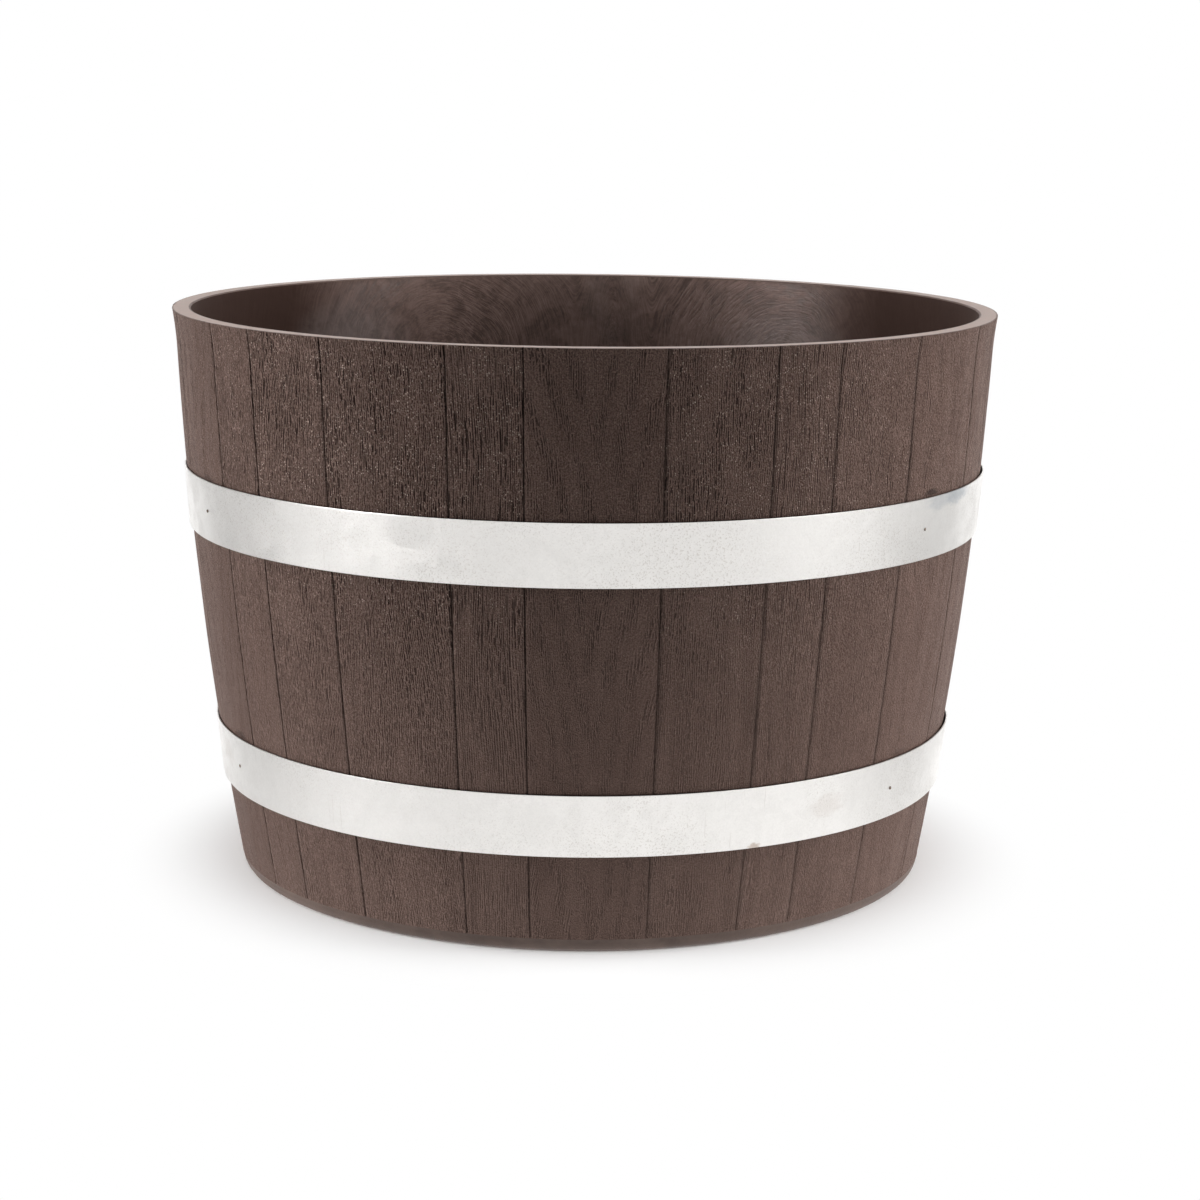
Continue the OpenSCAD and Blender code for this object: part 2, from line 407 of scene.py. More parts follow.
def newMaterial(name, roughness=0.5, metallic=0.0, specular=0.5):
    # Returns its shader too, and the place on the object
    material = bpy.data.materials.new(name)
    material.use_nodes = True
    shader = material.node_tree.nodes["Principled BSDF"]
    setInputs(shader, {"Roughness": roughness, "Metallic": metallic, "Specular IOR Level": specular})
    where = Value(material.node_tree.nodes.new("ShaderNodeTexCoord").outputs["Object"])
    return material, shader, where


def mapped(tree, label):
    # The three numbers that a piece keeps under a name all over its surface
    return separate(output(addNode(tree, "ShaderNodeAttribute", attribute_name=label), "Vector"))


def setFinish(shader, colour, roughness, height, bump):
    bumped = addValue(colour.tree, "ShaderNodeBump", {"Height": height, "Strength": 1.0, "Distance": bump})
    setInputs(shader, {"Base Color": colour, "Roughness": roughness, "Normal": bumped})


# Millimetres. A pair is across and up, but for rings it runs from a plain stave to a flamed one, and for
# cuts from a fine stave to a coarse one. The reach of the wander is on a plain stave, and what a flame adds
grainSizes = {
    "wander": (55.0, 110.0), "wanderReach": (8.0, 20.0), "ripple": (7.0, 30.0), "rippleReach": 1.2,
    "archTop": 230.0, "archSpread": 40.0, "archSlope": 3.4, "rings": (9.0, 15.0), "ringEdges": (7.0, 16.0),
    "patches": (15.0, 40.0), "streaks": (6.5, 120.0), "stipple": (0.85, 1.0),
    "wideSpacing": (1.9, 2.5), "wideBend": (6.0, 45.0), "wideDash": (1.6, 11.0), "wideHalf": 0.3,
    "fineSpacing": 1.2, "fineBend": (6.0, 40.0), "fineDash": (1.5, 6.0), "fineHalf": 0.24,
    "glints": (1.0, 1.35), "glintPatches": (11.0, 15.0), "glintHeights": (60.0, 300.0),
}


def woodGrainGroup():
    # Embossed grain of one stave, in millimetres across and up: short dark cuts, each with a painted
    # highlight along one edge, and glints
    tree, given, end = newTree(
        "woodGrain", "ShaderNodeTree",
        {"Across": 0.0, "Height": 0.0, "Stave": 0.0, "Flame": 0.0, "Coarse": 0.5},
        dict.fromkeys(("Cuts", "Edges", "Streaks", "Stipple", "Glints"), "Float"))
    size = grainSizes
    plain, up, seed, flame, coarse = given.values()
    own = seed * 613.0

    def layer(x, grainSize, shift, detail=0.0):
        return noise(combine(x / grainSize[0], up / grainSize[1], own + shift), 1.0, detail)

    wander = layer(plain, size["wander"], 0.0) - 0.5
    ripple = layer(plain, size["ripple"], 7.0) - 0.5
    plainReach, flameReach = size["wanderReach"]
    across = plain + wander * (plainReach + flame * flameReach) + ripple * size["rippleReach"]
    # growth rings: arches that point down on a flamed stave, upright bands on the others
    arch = (up - size["archTop"] + own.math("SINE") * size["archSpread"]) / size["archSlope"] * flame
    ring = (across.math("ABSOLUTE") - arch) / blend(flame, *size["rings"])
    ring = (ring * fullTurn).math("SINE") * 0.5 + 0.5
    banded = ramp(ring + (layer(plain, size["ringEdges"], 3.0) - 0.5) * 1.6, 0.35, 0.9, 0.15, 1.0)
    even = ramp(layer(plain, size["patches"], 11.0), 0.34, 0.56, 0.5, 1.0)
    strong = blend(flame, even, banded)

    def cutLayer(spacing, bend, dashLength, halfWidth, first, last, shift):
        # cuts stand side by side, each broken into dashes of its own, with a painted highlight along its
        # right edge
        beside = across / spacing + (layer(across, (5.0, bend), shift) - 0.5) * 1.2
        index = beside.math("FLOOR")
        offset = (beside - index - 0.5) * spacing
        broken = noise(combine(index * 7.31, up / dashLength, own + (shift + 18.0)), 1.0, 0.0)
        dash = ramp(broken, first, last)
        cut = bell(offset, halfWidth * 0.4, halfWidth * 1.2)
        edge = bell(offset - halfWidth * 1.7, halfWidth * 0.2, halfWidth)
        return cut * dash, edge * dash

    wideSpacing, wideBend, wideDash, fineBend, fineDash = [
        blend(coarse, *size[k]) for k in ("wideSpacing", "wideBend", "wideDash", "fineBend", "fineDash")]
    wideCut, wideHighlight = cutLayer(wideSpacing, wideBend, wideDash, size["wideHalf"], 0.48, 0.62, 23.0)
    fineCut, fineHighlight = cutLayer(size["fineSpacing"], fineBend, fineDash, size["fineHalf"], 0.36, 0.54, 83.0)
    # glints sit on the ridges between the cuts
    away, chance = dots(combine(plain / size["glints"][0], up / size["glints"][1], own))
    sparse = ramp(layer(plain, size["glintPatches"], 71.0, 1.0), 0.4, 0.6, 0.2, 1.0)
    sparse = sparse * blend(flame, 1.0, 0.35) * (1.0 - wideCut) * ramp(up, *size["glintHeights"], 0.2, 1.0)
    setInputs(end, {
        "Cuts": wideCut.math("MAXIMUM", fineCut) * strong,
        "Edges": wideHighlight.math("MAXIMUM", fineHighlight) * strong,
        "Streaks": ramp(layer(across, size["streaks"], 5.0, 2.0), 0.35, 0.65),
        "Stipple": ramp(layer(plain, size["stipple"], 61.0, 2.0), 0.34, 0.66),
        "Glints": ramp(away, 0.2, 0.4, 1.0, 0.0) * chance.math("POWER", 2.5) * sparse})
    return tree


woodGrain = woodGrainGroup()

wallFinish = {
    "cut": (0.016, 0.0095, 0.0078, 1), "dark": (0.063, 0.0385, 0.0315, 1), "light": (0.150, 0.101, 0.085, 1),
    # seam is painted shade for the grooves and the strip gaps; lip is lighter wear with a painted highlight
    "glint": (0.52, 0.41, 0.35, 1), "seam": (0.012, 0.0075, 0.006, 1), "lip": (0.15, 0.105, 0.09, 1),
    "scuff": (0.012, 0.009, 0.009, 1), "roughness": (0.46, 0.66), "specular": 0.03, "bump": 0.0009,
    "patches": (0.07, 0.4), "crispHeights": (0.11, 0.26), "seamHeights": (0.03, 0.2),
    "stripGapShade": (0.0003, 0.0011),
    # each scuff's angle, height and strength
    "scuffs": [(-63.7, 0.2520, 0.35), (54.6, 0.2530, 0.65), (-63.0, 0.0974, 0.45), (55.0, 0.0974, 0.2)],
    "scuffReach": (0.0085, 0.0085, 0.0023),
}


def stavePlastic():
    look = wallFinish
    material, shader, where = newMaterial("stavePlastic", specular=look["specular"])
    tree = where.tree
    across, height = mapped(tree, "staveMap")[:2]
    seed, flame, coarse = mapped(tree, "staveKind")
    groove, lip, rough = mapped(tree, "seamShade")
    grain = useGroup(woodGrain, {"Across": across * 1000.0, "Height": height * 1000.0,
                                 "Stave": seed, "Flame": flame, "Coarse": coarse})
    relief = grain["Stipple"] * (rough * 0.55 + 0.3) + (grain["Stipple"] - 0.5) * rough * 0.45
    # the painted highlights beside the cuts lighten the tone
    relief = relief + grain["Edges"] * (rough * 0.9 + 0.8)
    # the grain is worn softer below the upper hoop
    crisp = ramp(height, *look["crispHeights"], 0.45, 1.0)
    relief = blend(crisp, rough * 0.2 + 0.1, relief)
    tone = grain["Streaks"] * 0.12 + patchesOn(where, *look["patches"]) * 0.15 + seed * 0.1 + relief
    # the seam grooves are painted with shade, fainter towards the foot and softer on the right
    onRight = ramp(separate(where)[0], 0.0, 0.06)
    soft = groove * (1.0 - onRight * 0.8) + lip * lip * onRight * 0.4
    colour = blendColour(tone, look["dark"], look["light"])
    # the lips beside the seams are painted lighter, as wear and as a painted highlight
    for share, over in (
            (lip * 0.22, "lip"), (grain["Cuts"] * (rough * 0.7 + 0.45) * crisp, "cut"),
            (grain["Glints"] * (rough * 0.9 + 0.15) * crisp, "glint"),
            (soft * ramp(height, *look["seamHeights"], 0.5, 0.85), "seam")):
        colour = blendColour(share, colour, look[over])
    for hoop in hoops.values():
        # painted shade in the gap behind the strip's upper edge
        fromStrip = height - (hoop["lowerEdge"] + strip["width"])
        colour = blendColour(bell(fromStrip, *look["stripGapShade"], 0.4), colour, look["seam"])
    for angle, z, strength in look["scuffs"]:
        scuff = spotOn(where, angle, sideRadius(z), z, look["scuffReach"])
        colour = blendColour(scuff * strength, colour, look["scuff"])
    bumps = grain["Stipple"] * 0.45 - grain["Cuts"] * 0.8 + grain["Glints"] * 0.5
    setFinish(shader, colour, ramp(grain["Cuts"], 0.0, 1.0, *look["roughness"]), bumps, look["bump"])
    return material


rimFinish = {
    "dark": (0.38, 0.295, 0.262, 1), "light": (0.49, 0.39, 0.35, 1), "edge": (0.11, 0.075, 0.064, 1),
    "roughness": (0.48, 0.62), "specular": 0.12, "bump": 0.00022, "patches": (0.018, 0.3), "grit": 0.0016,
    "edgeWidths": (0.0034, 0.0015), "edgePlaces": (-0.24, -0.1), "raggedness": 0.0016, "ragged": 330.0,
}


def cutRimPlastic():
    look = rimFinish
    material, shader, where = newMaterial("cutRim", specular=look["specular"])
    patches = patchesOn(where, *look["patches"])
    fine = gritOn(where, look["grit"])
    colour = blendColour(patches * 0.6 + fine * 0.4, look["dark"], look["light"])
    # the brown skin of the wall shows at both edges of the cut, widest at the front
    x, y, z = separate(where)
    inward = tub["rimRadius"] - (x * x + y * y).math("SQRT")
    ragged = (noise(where, look["ragged"], 2.0, 0.6) - 0.5) * look["raggedness"]
    fromEdge = (inward + ragged).math("MINIMUM", tub["wall"] - inward)
    width = ramp(y, *look["edgePlaces"], *look["edgeWidths"])
    colour = blendColour(ramp(fromEdge / width, 0.3, 1.0), look["edge"], colour)
    setFinish(shader, colour, ramp(patches, 0.0, 1.0, *look["roughness"]), fine, look["bump"])
    return material


insideFinish = {
    "dark": (0.024, 0.013, 0.010, 1), "light": (0.190, 0.126, 0.107, 1), "specular": 0.2, "bump": 0.00018,
    "roughness": (0.32, 0.46), "plainRoughness": 0.85,
    "swirls": (0.10, 1.2), "wisps": (0.03, 2.0), "grit": 0.0013, "sheen": (0.34, 0.32, 0.32, 1),
    "sheens": [(-0.180, 0.290), (0.150, 0.287)], "sheenReach": (0.062, 0.050),
    "strokeCentres": (-0.103, 0.148), "strokeHeight": 0.285, "strokeWidth": 0.0011, "bandWidth": 0.0055,
    "floorEnds": (0.02, 0.10), "brushedReach": (0.13, 0.24),
}


def insidePlastic():
    look = insideFinish
    material, shader, where = newMaterial("insidePlastic", specular=look["specular"])
    x, y, z = separate(where)
    # the mould was brushed in arcs round two places on each half, and its strokes show
    along = x.math("ARCTAN2", y.math("ABSOLUTE")) * (tub["rimRadius"] - tub["wall"])
    above = z - look["strokeHeight"]
    beside = blend(ramp(along, -0.01, 0.05), *[along - centre for centre in look["strokeCentres"]])
    away = (beside * beside + above * above).math("SQRT") + noise(where, 22.0) * 0.012
    turn = above.math("ARCTAN2", beside)
    # only the brushed part of each half of the wall is paler, and the floor is plain and even
    onWall = ramp(z, *look["floorEnds"])
    brushed = blend(onWall, 0.45, ramp(along.math("ABSOLUTE"), *look["brushedReach"], 1.0, 0.06))
    strokes = noise(combine(away / look["strokeWidth"], turn * 5.0, along / 0.03), 1.0, 2.0, 0.6)
    strokes = ramp(strokes, 0.36, 0.66) * onWall
    bands = noise(combine(away / look["bandWidth"], turn * 1.6, along / 0.09)) * onWall
    swirls = patchesOn(where, *look["swirls"])
    wisps = patchesOn(where, *look["wisps"])
    fine = gritOn(where, look["grit"])
    tone = strokes * (swirls * 0.25 + 0.15) + ramp(bands, 0.3, 0.7) * 0.12 + wisps * 0.35 + fine * 0.25 + 0.05
    colour = blendColour(tone * brushed, look["dark"], look["light"])
    # two soft grey sheens are painted in, as reflections of the side lights
    for centre, height in look["sheens"]:
        sideways = (along - centre) / look["sheenReach"][0]
        upwards = (z - height) / look["sheenReach"][1]
        sheen = ramp(sideways * sideways + upwards * upwards, 0.0, 1.0, 0.12, 0.0)
        colour = blendColour(sheen * (wisps * 0.5 + 0.7), colour, look["sheen"])
    roughness = ramp(strokes * 0.5 + bands * 0.5, 0.15, 0.85, *look["roughness"])
    roughness = blend(ramp(brushed, 0.0, 0.7), look["plainRoughness"], roughness)
    height = fine * 0.3 + (bands * 0.3 + strokes * 0.5) * brushed
    setFinish(shader, colour, roughness, height, look["bump"])
    return material


def plainFinish(name, look):
    # The foot, the nails and the rivets: soft patches under a fine grit
    material, shader, where = newMaterial(name, metallic=look["metallic"], specular=look["specular"])
    patches = patchesOn(where, *look["patches"])
    fine = gritOn(where, look["grit"])
    share = look["patchShare"]
    colour = blendColour(patches * share + fine * (1.0 - share), look["dark"], look["light"])
    height = fine if look["smooth"] else fine * 0.5 + patches * 0.5
    setFinish(shader, colour, ramp(patches, 0.0, 1.0, *look["roughness"]), height, look["bump"])
    return material


footFinish = {
    "dark": (0.050, 0.033, 0.027, 1), "light": (0.092, 0.064, 0.053, 1), "roughness": (0.44, 0.58),
    "metallic": 0.0, "specular": 0.2, "patches": (0.05, 0.8), "grit": 0.0014, "patchShare": 0.6,
    "smooth": True, "bump": 0.0002,
}
nailFinish = {
    "dark": (0.10, 0.065, 0.045, 1), "light": (0.26, 0.20, 0.16, 1), "roughness": (0.42, 0.62),
    "metallic": 0.6, "specular": 0.5, "patches": (0.002, 0.8), "grit": 0.0004, "patchShare": 0.7,
    "smooth": False, "bump": 0.00008,
}
rivetFinish = dict(nailFinish, dark=(0.46, 0.45, 0.44, 1), light=(0.74, 0.73, 0.71, 1),
                   roughness=(0.30, 0.50), metallic=0.7)

zinc = {
    "pale": (0.87, 0.85, 0.825, 1), "grey": (0.68, 0.665, 0.645, 1), "speck": (0.38, 0.33, 0.28, 1),
    "stain": (0.42, 0.46, 0.50, 1), "rust": (0.30, 0.17, 0.09, 1), "roughness": (0.3, 0.44), "metallic": 0.93,
    "mottle": (0.022, 1.2), "grit": 0.0011, "specks": 1000.0, "bump": 0.00012,
    # each mark's angle, height, reach, strength and colour, and how far out of the side their middles are
    "marks": [(62.6, 0.2492, (0.014, 0.022, 0.0085), 0.6, "stain"),
              (57.0, 0.2482, (0.018, 0.018, 0.0080), 0.36, "stain"),
              (38.4, 0.0770, (0.013, 0.013, 0.0080), 0.11, "rust"),
              (-70.0, 0.0800, (0.010, 0.016, 0.0090), 0.08, "rust"),
              (25.8, 0.0595, (0.0042, 0.0042, 0.0028), 0.5, "rust")],
    "marksOut": 0.002,
}


def galvanised():
    look = zinc
    material, shader, where = newMaterial("galvanisedStrip", metallic=look["metallic"])
    along, acrossStrip = mapped(where.tree, "stripMap")[:2]
    mottle = patchesOn(where, *look["mottle"])
    fine = gritOn(where, look["grit"])
    specks = ramp(noise(where, look["specks"], 1.0, 0.7), 0.54, 0.68) * ramp(noise(where, 14.0), 0.36, 0.68)
    scratches = noise(combine(along * 900.0, acrossStrip * 26.0, 3.0), 1.0, 1.0, 0.5, 0.35)
    scratches = ramp(scratches, 0.70, 0.75) * ramp(noise(where, 9.0, 1.0), 0.52, 0.62)
    colour = blendColour(mottle * 0.22 + (fine - 0.5) * 0.7 + 0.1, look["pale"], look["grey"])
    colour = blendColour(specks * 0.36, colour, look["speck"])
    colour = blendColour(scratches * 0.2, colour, look["speck"])
    for angle, z, reach, strength, kind in look["marks"]:
        mark = spotOn(where, angle, sideRadius(z) + look["marksOut"], z, reach)
        colour = blendColour(mark * strength, colour, look[kind])
    roughness = ramp(mottle + (fine - 0.5) * 0.6, 0.0, 1.0, *look["roughness"])
    setFinish(shader, colour, roughness, fine * 0.6 + mottle * 0.4 + scratches * -0.5, look["bump"])
    return material


wallMaterial = stavePlastic()
rimMaterial = cutRimPlastic()
insideMaterial = insidePlastic()
footMaterial = plainFinish("footPlastic", footFinish)
stripMaterial = galvanised()
nailMaterial = plainFinish("dulledNail", nailFinish)
rivetMaterial = plainFinish("dullRivet", rivetFinish)
print("materials made")


# The tub

# Each stave from the front one round: its share of the circle, and how flamed, coarse and rough its grain is
staves = [
    (77, 0.85, 0.25, 0.5), (63, 0.0, 0.3, 0.75), (41, 0.1, 0.95, 0.7), (62, 0.15, 0.3, 0.55),
    (76, 0.7, 0.5, 0.4), (42, 0.2, 0.6, 0.3), (62, 0.0, 0.7, 0.6), (77, 0.6, 0.5, 0.4),
    (41, 0.0, 0.8, 0.8), (58, 0.2, 0.45, 0.5), (76, 0.8, 0.4, 0.6), (43, 0.0, 0.75, 0.4),
    (60, 0.1, 0.6, 0.9), (78, 0.7, 0.45, 0.5), (42, 0.0, 0.8, 0.4), (62, 0.2, 0.5, 0.7),
    (76, 0.6, 0.6, 0.5), (41, 0.0, 0.7, 0.3), (58, 0.1, 0.5, 0.6), (77, 0.8, 0.4, 0.5),
    (70, 0.3, 0.5, 0.4), (68, 0.55, 0.35, 0.4), (42, 0.25, 0.3, 0.7), (58, 0.1, 0.4, 1.15),
    (78, 0.15, 0.3, 1.35), (43, 0.0, 1.0, 0.95),
]

# Sizes of the stave pattern and of the ring of drain holes, under the names of the tree's inputs
staveWall = {
    "Columns per Stave": 44, "Crowding": 0.86, "First Seam": -7.5, "Seam Width": 0.0014, "Seam Depth": 0.001,
    "Shoulder Width": 0.0034, "Shoulder Depth": 0.00022, "Relief": 0.00035, "Rim Unevenness": 0.00018,
    "Grain Radius": 0.235, "Drain Radius": 0.005, "Drain Circle": 0.120, "Drains": 4,
}


def tubProfile():
    # Points from the drain hole out under the floor, up the wall, over the rim and back inside.
    # Each has its radius, height, share of the stave pattern, depth inside the outer face, and zone:
    # 0 wall, 1 cut rim, 2 inside, 3 foot and underside.
    rows = []
    wall, top, rim, drain, recess, ring, floorTop, fillet = [tub[k] for k in (
        "wall", "height", "rimRadius", "drainRadius", "recess", "ringInside", "floorTop", "fillet")]
    flareStart = top - tub["flareHeight"]

    def add(zone, points, pattern=0.0):
        for radius, z, *inset in points:
            rows.append((radius, z, pattern, sum(inset), zone))

    def spread(low, high, steps):
        return [low + (high - low) * i / steps for i in range(steps)]

    # the underside, with small chamfers round the drain hole and the ring
    add(3, [(drain + 0.0004, recess), (0.05, recess), (0.11, recess), (ring - 0.0006, recess),
            (ring, recess - 0.0006), (ring, 0.0006), (ring + 0.0006, 0.0)])
    # the smooth edge of the foot, with a small ledge under the staves
    ledge = 0.0004
    reach = sideRadius(tub["footEdge"]) - ledge - tub["groundRadius"]
    turns = [math.radians(90 * i / 7) for i in range(8)]
    add(3, [(tub["groundRadius"] + reach * math.sin(turn), (tub["footEdge"] - ledge) * (1 - math.cos(turn)))
            for turn in turns])
    # the wall with its staves
    start = tub["footEdge"] + 0.0002
    high = top - 0.0006
    add(0, [(sideRadius(start), start)])
    heights = spread(start + 0.0009, flareStart, 25) + spread(flareStart, high, 6) + [high]
    add(0, [(sideRadius(z), z) for z in heights], 1.0)
    # the rim, cut flat, with its edges broken
    add(1, [(rim - inset, top - drop, inset)
            for inset, drop in ((0.00018, 0.00018), (0.0006, 0.0), (0.0015, 0.0))], 1.0)
    add(1, [(rim - wall / 2, top), (rim - wall + 0.0008, top), (rim - wall + 0.00022, top - 0.00022)])
    # inside, down to the floor
    filletTop = floorTop + fillet
    heights = spread(top - 0.0009, flareStart, 4) + spread(flareStart, filletTop, 8) + [filletTop]
    add(2, [(sideRadius(z) - wall, z) for z in heights])
    lean = math.atan((sideRadius(filletTop + 0.001) - sideRadius(filletTop - 0.001)) / 0.002)
    centre = sideRadius(filletTop) - wall - fillet / math.cos(lean)
    turns = [lean + (math.pi / 2 - lean) * i / 6 for i in range(1, 7)]
    add(2, [(centre + fillet * math.cos(turn), filletTop - fillet * math.sin(turn)) for turn in turns])
    add(2, [(0.11, floorTop), (0.05, floorTop), (drain + 0.0008, floorTop),
            (drain + 0.0002, floorTop - 0.0002), (drain, floorTop - 0.0008),
            (drain, recess + 0.0004), (drain + 0.0004, recess)])
    return rows


def tubTree(settings):
    tree, given, end = shapeTree("staveTub", settings)
    profile = given["Profile"]
    staveData = pointsOf(given["Staves"])
    perStave = given["Columns per Stave"]
    mesh, column, row, pointRadius, pointHeight = startGrid(profile, perStave * float(len(staves)))

    def ofPoint(label, index):
        return sample(profile, named(tree, label), index)

    def ofStave(label, index):
        return sample(staveData, named(tree, label), index)

    def staveOf(value):
        # number of the stave, its start and width as shares of the circle, and its seed
        number = (value / perStave + 0.0001).math("FLOOR")
        return [number] + separate(sample(staveData, position(tree), number, "FLOAT_VECTOR"))

    def perFace(value):
        return addValue(tree, "GeometryNodeFieldOnDomain", {"Value": value}, data_type="FLOAT", domain="FACE")

    number, startShare, width, seed = staveOf(column)
    along = column / perStave - number
    # columns crowd together at the seams
    crowd = (along * fullTurn).math("SINE") * given["Crowding"] / fullTurn
    share = startShare + width * (along - crowd)
    nearSeam = (along - crowd).math("MINIMUM", 1.0 - (along - crowd)) * width * fullTurn * pointRadius
    angle = (share * 360.0 + given["First Seam"]) * (math.pi / 180)
    sine = angle.math("SINE")
    cosine = angle.math("COSINE")
    # the seams are worn shallower on the right
    depth = ramp(sine, 0.0, 0.3, 1.0, 0.3) * given["Seam Depth"]
    groove = ramp(nearSeam, 0.0, given["Seam Width"] / 2.0, depth, 0.0)
    shoulder = ramp(nearSeam, 0.0, given["Shoulder Width"], given["Shoulder Depth"], 0.0)
    bumps = noise(combine(share * 140.0, pointHeight * 11.0, number))
    relief = ramp(bumps, 0.3, 0.7) * given["Relief"] * ramp(nearSeam, 0.0014, 0.006)
    pattern = ofPoint("pattern", row)
    inward = (groove + shoulder + relief - ofPoint("inset", row)).math("MAXIMUM", 0.0) * pattern
    radius = pointRadius - inward
    isRim = ramp(pointHeight, tub["height"] - 0.0003, tub["height"] - 0.0001)
    uneven = noise(combine(sine * 26.0, cosine * 26.0, pointRadius * 150.0), 1.0, 3.0, 0.6)
    height = pointHeight - isRim * uneven * given["Rim Unevenness"]
    mesh = place(mesh, radius * sine, -(radius * cosine), height)
    inGroove = ramp(nearSeam, 0.0, given["Seam Width"] / 2.0, 1.0, 0.0) * pattern
    onLip = ramp(nearSeam, given["Seam Width"] / 2.0, given["Shoulder Width"], 1.0, 0.0) * pattern
    seamShade = combine(inGroove, onLip, ofStave("rough", number))
    mesh = store(mesh, "seamShade", seamShade, "FLOAT_VECTOR", "POINT")

    # where each face lies on its own stave, for the grain: metres across from its middle, and up
    faceNumber, faceStart, faceWidth, faceSeed = staveOf(perFace(column))
    across = (share - faceStart - faceWidth / 2.0) * fullTurn * given["Grain Radius"]
    mesh = store(mesh, "staveMap", combine(across, pointHeight, 0.0), "FLOAT2", "CORNER")
    staveKind = combine(faceSeed, ofStave("flame", faceNumber), ofStave("coarse", faceNumber))
    mesh = store(mesh, "staveKind", staveKind, "FLOAT_VECTOR", "FACE")
    zone = ofPoint("zone", perFace(row).math("FLOOR"))
    mesh = paint(mesh, given["Wall"])
    for value, material in ((1.0, "Rim"), (2.0, "Inside"), (3.0, "Foot")):
        isZone = addValue(tree, "FunctionNodeCompare", {"A": zone, "B": value},
                          data_type="FLOAT", operation="EQUAL")
        mesh = paint(mesh, given[material], isZone)
    mesh = merge(mesh)

    # the ring of drain holes, turned between the front and the sides
    circle = addValue(tree, "GeometryNodeMeshCircle", {
        "Vertices": given["Drains"], "Radius": given["Drain Circle"]})
    turned = addValue(tree, "GeometryNodeTransform", {
        "Geometry": circle, "Rotation": (0, 0, math.radians(45))})
    cutter = addValue(tree, "GeometryNodeMeshCylinder", {
        "Vertices": 32, "Side Segments": 1, "Radius": given["Drain Radius"], "Depth": 0.04})
    cutters = addValue(tree, "GeometryNodeInstanceOnPoints", {
        "Points": turned, "Instance": paint(cutter, given["Inside"])})
    holes = addValue(tree, "GeometryNodeMeshBoolean", {"Mesh 1": mesh, "Mesh 2": realize(cutters)},
                     operation="DIFFERENCE", solver="MANIFOLD")
    finishTree(end, holes)
    return tree


def makeTub():
    radii, heights, patterns, insets, zones = zip(*tubProfile())
    profile = pointMesh("tubProfile", [(radius, 0.0, z) for radius, z in zip(radii, heights)],
                        {"pattern": patterns, "inset": insets, "zone": zones})
    picked = random.Random(12)
    total = sum(stave[0] for stave in staves)
    widths, flames, coarses, roughs = zip(*staves, staves[0])
    points = [(sum(widths[:i]) / total, width / total, picked.random()) for i, width in enumerate(widths)]
    staveData = pointMesh("staveData", points, {"flame": flames, "coarse": coarses, "rough": roughs})
    settings = {
        **staveWall, "Staves": staveData,
        "Wall": wallMaterial, "Rim": rimMaterial, "Inside": insideMaterial, "Foot": footMaterial}
    made = growShape("barrelTub", profile, tubTree(settings), settings)
    bpy.data.objects.remove(staveData)
    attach(made, "root")
    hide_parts("barrel_tub")


makeTub()


# The hoops

stripShape = {"Columns": 720, "Waviness": 0.00022, "Sprung Angle": 448.0, "Sprung Height": 0.0009}


def stripRadii(hoop):
    # At the strip's lower and upper edges, and the degrees round that a metre of its middle takes
    low = sideRadius(hoop["lowerEdge"]) + hoop["lowGap"]
    top = sideRadius(hoop["lowerEdge"] + strip["width"]) + strip["topGap"]
    return low, top, 180 / math.pi / ((low + top) / 2)


def stripProfile():
    # The strip's section with rounded edges, as (distance outwards, 0, distance up the strip)
    t = strip["thickness"]
    w = strip["width"]
    e = strip["edge"]
    # rows close to each edge keep the rounding's shading off the flat of the strip
    flat = [e, e * 2] + [w * i / 6 for i in range(1, 6)] + [w - e * 2, w - e]
    outer = [(t - e * 0.3, 0.0)] + [(t, z) for z in flat] + [(t - e * 0.3, w)]
    inner = [(e * 0.3, w)] + [(0.0, z) for z in reversed(flat)] + [(e * 0.3, 0.0)]
    return [(x, 0.0, z) for x, z in outer + inner + outer[:1]]


def hoopTree(settings):
    tree, given, end = shapeTree("nailedHoop", settings)
    mesh, column, row, out, up = startGrid(given["Profile"], given["Columns"])
    # the first and last columns close the ends of the strip
    last = given["Columns"] * 1.0
    travel = ((column - 1.0) / (last - 2.0)).math("MAXIMUM", 0.0).math("MINIMUM", 1.0)
    isEnd = column.math("LESS_THAN", 0.5) + column.math("GREATER_THAN", last - 0.5)
    out = blend(isEnd, out, given["Thickness"] / 2.0)
    angle = given["Start"] + travel * given["Turn"]
    lift = ramp(angle, given["Joggle Start"], given["Joggle End"], 0.0, given["Lap Lift"])
    # the strip was bent by hand, so it stands off a little here and there, most on the right
    turn = angle * (math.pi / 180)
    sine = turn.math("SINE")
    cosine = turn.math("COSINE")
    wave = noise(combine(sine * 2.3, cosine * 2.3, given["Seed"]))
    base = blend(up / given["Width"], given["Low Radius"], given["Top Radius"])
    sprung = bell(angle - given["Sprung Angle"], 4.0, 18.0) * given["Sprung Height"] * (up / given["Width"])
    radius = base + out + lift + sprung + ramp(wave, 0.35, 0.7) * given["Waviness"]
    mesh = place(mesh, radius * sine, -(radius * cosine), given["Lower Edge"] + up)
    mesh = store(mesh, "stripMap", combine(turn * given["Low Radius"], up, 0.0), "FLOAT2", "CORNER")
    finishTree(end, merge(mesh, 0.000002), given["Strip"])
    return tree


